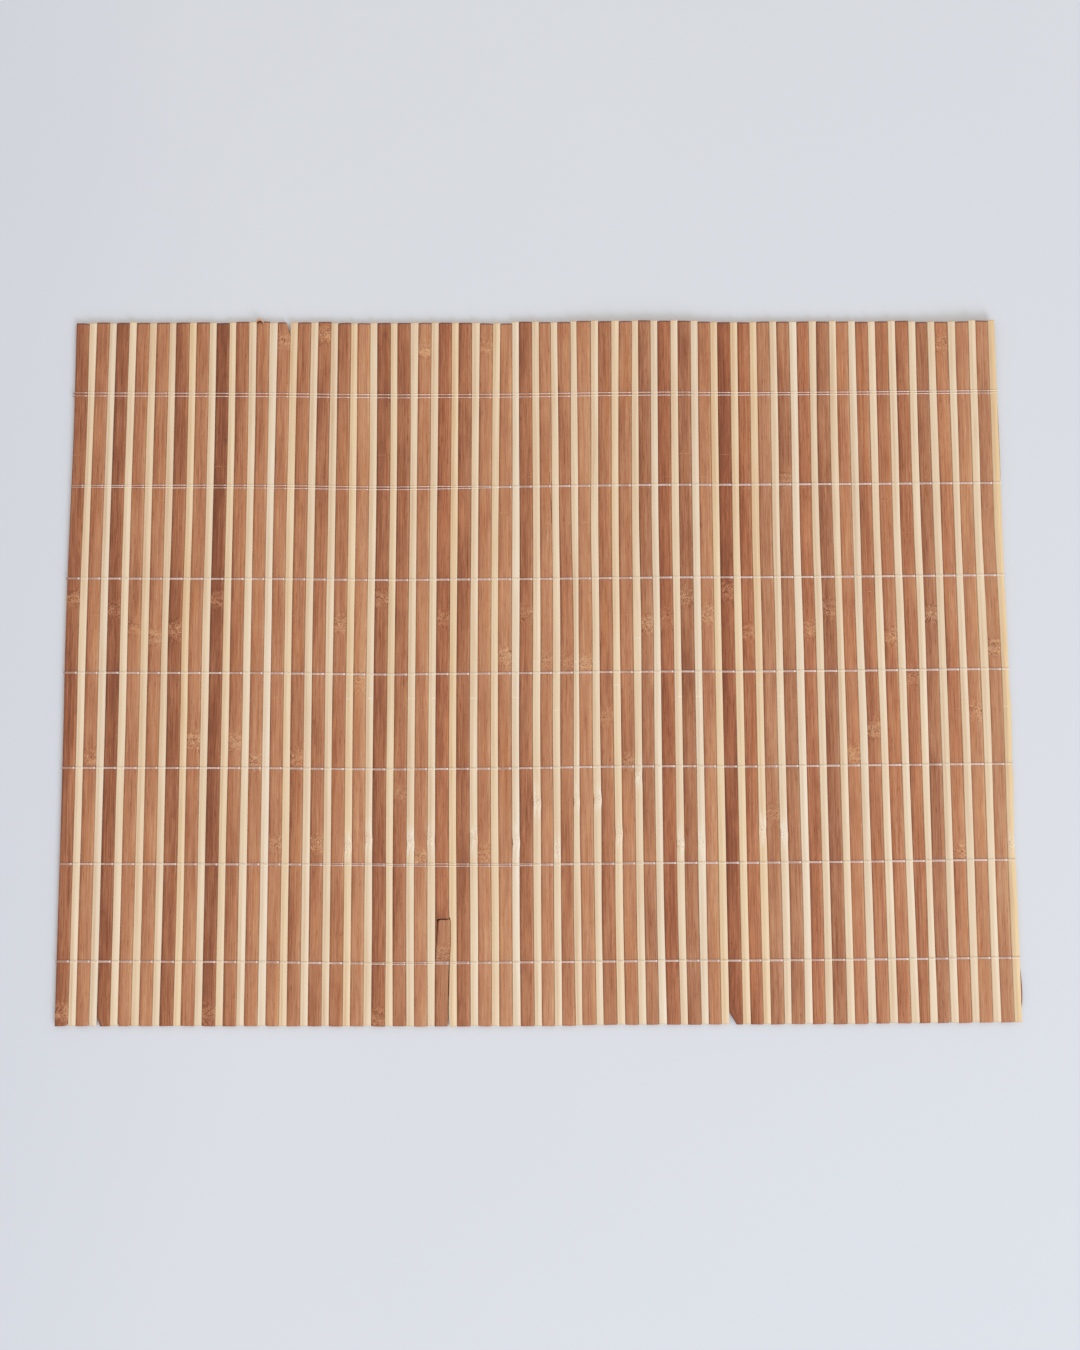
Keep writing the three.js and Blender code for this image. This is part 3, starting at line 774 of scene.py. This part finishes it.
def pale_bamboo():
    m = Nodes("pale_bamboo")
    u, v, seed = m.attribute("lie")
    tone, warm, knot = m.attribute("look")
    across, end, last = m.attribute("edge")
    wobble = m.noise(m.math("MULTIPLY", u, 0.9), m.math("MULTIPLY", v, 0.4), seed, 2.0)
    far = m.sum(m.math("ABSOLUTE", knot), (wobble, 0.5, 4.0))
    near = m.reach(far, 0.5, 6.0, 1.0, 0.0)
    u2 = m.sum(u, m.math("MULTIPLY", m.sum((wobble, 0.5, 4.0)), near))

    def fibre(width, length, shift, detail=2.0):
        return m.noise(m.math("MULTIPLY", u2, 1 / width), m.math("MULTIPLY", v, 1 / length), m.math("ADD", seed, shift), detail)

    broad, band, fine = fibre(0.9, 80, 1.3), fibre(0.35, 30, 2.7), fibre(0.14, 11, 3.9, 3.0)
    cloud = m.noise(m.math("MULTIPLY", u, 0.2), m.math("MULTIPLY", v, 1 / 45), m.math("ADD", seed, 5.1), 2.0)
    speck = m.reach(m.noise(m.math("MULTIPLY", u, 1.9), m.math("MULTIPLY", v, 1.2), m.math("ADD", seed, 7.7), 1.0), 0.63, 0.7)
    speck = m.math("MULTIPLY", speck, m.reach(far, 0.5, 3.0, 1.0, 0.0))
    value = m.sum(
        m.math("MULTIPLY_ADD", tone, 0.3, 0.35),
        (broad, 0.5, 0.5), (band, 0.5, 0.4), (fine, 0.5, 0.4), (cloud, 0.5, 0.45),
        # painted light across the splint: a lighter right half and a painted highlight right of the crown, from the
        # lamp on the right, and the left edge painted lighter against its shade
        (m.reach(across, 0.35, 0.6), 0.5, 0.16), (m.reach(across, 0.35, 0.1), 0.0, 0.14),
        # the v term at the end of the next line is painted light: lighter towards the near end, nearer the lamp
        (m.reach(across, 0.55, 0.72), 0.0, 0.06), (v, 150.0, 0.00035),
    )
    colour = m.ramp(value, [
        (0.0, rgb(199, 163, 127)), (0.3, rgb(214, 184, 151)), (0.55, rgb(226, 203, 173)),
        (0.8, rgb(234, 215, 190)), (1.0, rgb(241, 228, 208)),
    ])
    yellow = m.mix(1.0, colour, (1.015, 0.97, 0.875, 1.0), "MULTIPLY")
    white = m.mix(1.0, colour, (0.995, 1.02, 1.06, 1.0), "MULTIPLY")
    colour = m.mix(m.reach(warm, -0.1, 1.0, 0.0, 1.0, False), colour, yellow)
    colour = m.mix(m.reach(warm, -0.1, -0.8, 0.0, 1.0, False), colour, white)
    # the skin is glossier for a few millimetres about a node, and painted whiter there as a painted sheen
    long = m.reach(m.sum(m.math("ABSOLUTE", knot), (wobble, 0.5, 8.0)), 1.0, 10.0, 1.0, 0.0)
    gloss_and_painted_sheen = m.math("MULTIPLY", long, m.reach(fibre(0.5, 14, 9.7), 0.42, 0.6))
    colour = m.mix(m.math("MULTIPLY", gloss_and_painted_sheen, 0.55), colour, rgb(247, 238, 226))
    colour = m.mix(m.math("MULTIPLY", speck, 0.7), colour, rgb(168, 112, 66))
    skin = m.math("MULTIPLY", last, m.reach(m.sum(across, (wobble, 0.5, 0.3)), 0.15, 0.6))
    colour = m.mix(m.math("MULTIPLY", skin, 0.75), colour, m.mix(1.0, colour, (1.03, 0.975, 0.8, 1.0), "MULTIPLY"))
    colour = m.mix(m.reach(end, 0.2, 0.5, 0.35, 0.0), colour, rgb(190, 140, 84))
    rough = m.sum(0.48, (fine, 0.5, 0.3), (gloss_and_painted_sheen, 0.0, -0.2))
    height = m.sum((fine, 0.5, 0.5), (band, 0.5, 0.6), (speck, 0.0, 0.5))
    return m.surface(colour, rough, height=height, depth=0.0001, bump=0.5)


def cut_end(name, light, dark):
    m = Nodes(name)
    u, v, seed = m.attribute("lie")
    n = m.tree.nodes.new("ShaderNodeTexCoord")
    dots = m.tree.nodes.new("ShaderNodeTexVoronoi")
    dots.inputs["Scale"].default_value = 3200
    m.put(dots.inputs["Vector"], n.outputs["Object"])
    colour = m.ramp(dots.outputs["Distance"], [(0.1, dark), (0.55, light)])
    return m.surface(colour, 0.8)


def nylon_thread():
    m = Nodes("nylon_thread")
    over_pale, end, x = m.attribute("look")
    spots = m.noise(m.math("MULTIPLY", x, 2.1), 0.0, over_pale, 2.0)
    where = m.tree.nodes.new("ShaderNodeTexCoord")
    apart = m.tree.nodes.new("ShaderNodeSeparateXYZ")
    m.put(apart.inputs[0], where.outputs["Object"])
    slack = m.noise(m.math("MULTIPLY", x, 0.13), m.math("MULTIPLY", apart.outputs[1], 120.0), 0.5, 1.0)
    # it shows less over the left half of the mat, and hardly at all at its two sides
    shown = m.sum(
        spots, (slack, 0.5, 0.85), (m.reach(x, -60, 150), 0.0, 0.175),
        (m.reach(x, -190, -194), 0.0, -0.35), (m.reach(x, 190, 193), 0.0, -0.18),
    )
    clear = m.ramp(shown, [(0.3, rgb(194, 159, 142)), (0.75, rgb(232, 212, 204))])
    # painted highlight where a strand turns down at a slat's right edge (end 1), and painted shade past it in the
    # groove, tinted by the brown below (end -1)
    colour = m.mix(m.reach(end, 0.0, 1.0, 0.0, 0.9, False), clear, rgb(250, 246, 248))
    colour = m.mix(m.reach(end, 0.0, -1.0, 0.0, 0.8, False), colour, rgb(168, 118, 88))
    # clear thread takes the colour of what it lies on
    colour = m.mix(over_pale, colour, rgb(246, 230, 208))
    return m.surface(colour, 0.22, ior=1.53)


# ---- the mat -----------------------------------------------------------------

brown = build_slats(brown_bamboo(), cut_end("brown_cut_end", rgb(178, 122, 84), rgb(112, 66, 42)))
pale = build_splints(pale_bamboo(), cut_end("pale_cut_end", rgb(226, 196, 146), rgb(186, 146, 94)))
thread = nylon_thread()
rows = [build_row(i, thread) for i in range(len(ROWS))]

for piece, slot in [(brown, "brown_bamboo"), (pale, "pale_bamboo")] + [(r, "nylon_thread") for r in rows]:
    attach(piece, "root")
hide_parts("slat_field")
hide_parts("slat_field")
for i, r in enumerate(rows):
    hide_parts(f"thread_row_{i + 1}")

# ---- surface, light and camera -----------------------------------------------

floor_mesh = bpy.data.meshes.new("surface")
floor_mesh.from_pydata([(-3, -3, 0), (3, -3, 0), (3, 3, 0), (-3, 3, 0)], [], [(0, 1, 2, 3)])
floor = bpy.data.objects.new("surface", floor_mesh)
bpy.context.scene.collection.objects.link(floor)
m = Nodes("pale_surface")
where = m.tree.nodes.new("ShaderNodeTexCoord")
haze = m.tree.nodes.new("ShaderNodeTexNoise")
haze.inputs["Scale"].default_value = 6
m.put(haze.inputs["Vector"], where.outputs["Object"])
tint = m.ramp(haze.outputs[0], [(0.3, (0.672, 0.695, 0.745, 1)), (0.7, (0.682, 0.705, 0.752, 1))])
apart = m.tree.nodes.new("ShaderNodeSeparateXYZ")
m.put(apart.inputs[0], where.outputs["Object"])
# darker towards the left side: painted shade for the lamp's fall-off from the right
duller = m.mix(1.0, tint, (0.945, 0.95, 0.965, 1.0), "MULTIPLY")
tint = m.mix(m.reach(apart.outputs[0], -0.12, -0.25), tint, duller)
# duller towards the foot of the lamp, where it would glare
foot = m.tree.nodes.new("ShaderNodeVectorMath")
foot.operation = "DISTANCE"
m.put(foot.inputs[0], where.outputs["Object"])
foot.inputs[1].default_value = (1.7, -2.9, 0.0)
tint = m.mix(m.reach(foot.outputs["Value"], 3.0, 1.2), tint, m.mix(1.0, tint, (0.38, 0.38, 0.38, 1.0), "MULTIPLY"))
floor_mesh.materials.append(m.surface(tint, 0.8, ior=1.4))

world = bpy.data.worlds.new("room")
bpy.context.scene.world = world
world.use_nodes = True
sky = world.node_tree.nodes["Background"]
# warm from above, and as pale as the surface low down
way = world.node_tree.nodes.new("ShaderNodeTexCoord")
split = world.node_tree.nodes.new("ShaderNodeSeparateXYZ")
high = world.node_tree.nodes.new("ShaderNodeMapRange")
high.interpolation_type = "SMOOTHSTEP"
high.inputs["From Min"].default_value, high.inputs["From Max"].default_value = 0.06, 0.4
blend = world.node_tree.nodes.new("ShaderNodeMix")
blend.data_type = "RGBA"
blend.inputs[6].default_value = (0.76, 0.775, 0.81, 1)
blend.inputs[7].default_value = (1.046, 1.0, 0.937, 1)
world.node_tree.links.new(way.outputs["Generated"], split.inputs[0])
world.node_tree.links.new(split.outputs[2], high.inputs["Value"])
world.node_tree.links.new(high.outputs[0], blend.inputs["Factor"])
world.node_tree.links.new(blend.outputs[2], sky.inputs[0])
sky.inputs[1].default_value = 0.82


def lamp(name, azimuth, elevation, distance, size, power, colour):
    """A soft lamp that points at the mat. Azimuth 0 is towards +X and 90 towards +Y."""
    data = bpy.data.lights.new(name, "AREA")
    data.shape, data.size, data.energy, data.color = "DISK", size, power, colour
    o = bpy.data.objects.new(name, data)
    a, e = math.radians(azimuth), math.radians(elevation)
    o.location = (math.cos(a) * math.cos(e) * distance, math.sin(a) * math.cos(e) * distance, math.sin(e) * distance)
    o.rotation_euler = (math.pi / 2 - e, 0, a + math.pi / 2)
    bpy.context.scene.collection.objects.link(o)
    return o


lamp("key", -60, 26, 4.0, 1.9, 84.0, (0.85, 1.0, 1.2))

camera_data = bpy.data.cameras.new("camera")
camera_data.lens, camera_data.sensor_width = 36.717, 36.0
camera_data.clip_start, camera_data.clip_end = 0.01, 20
camera = bpy.data.objects.new("camera", camera_data)
camera.location = (-0.000548, -0.063509, 0.582207)
camera.rotation_euler = (0.1008, -0.00283, -0.00325)
bpy.context.scene.collection.objects.link(camera)
bpy.context.scene.camera = camera
bpy.context.scene.view_settings.view_transform = "Standard"
bpy.context.scene.view_settings.look = "None"
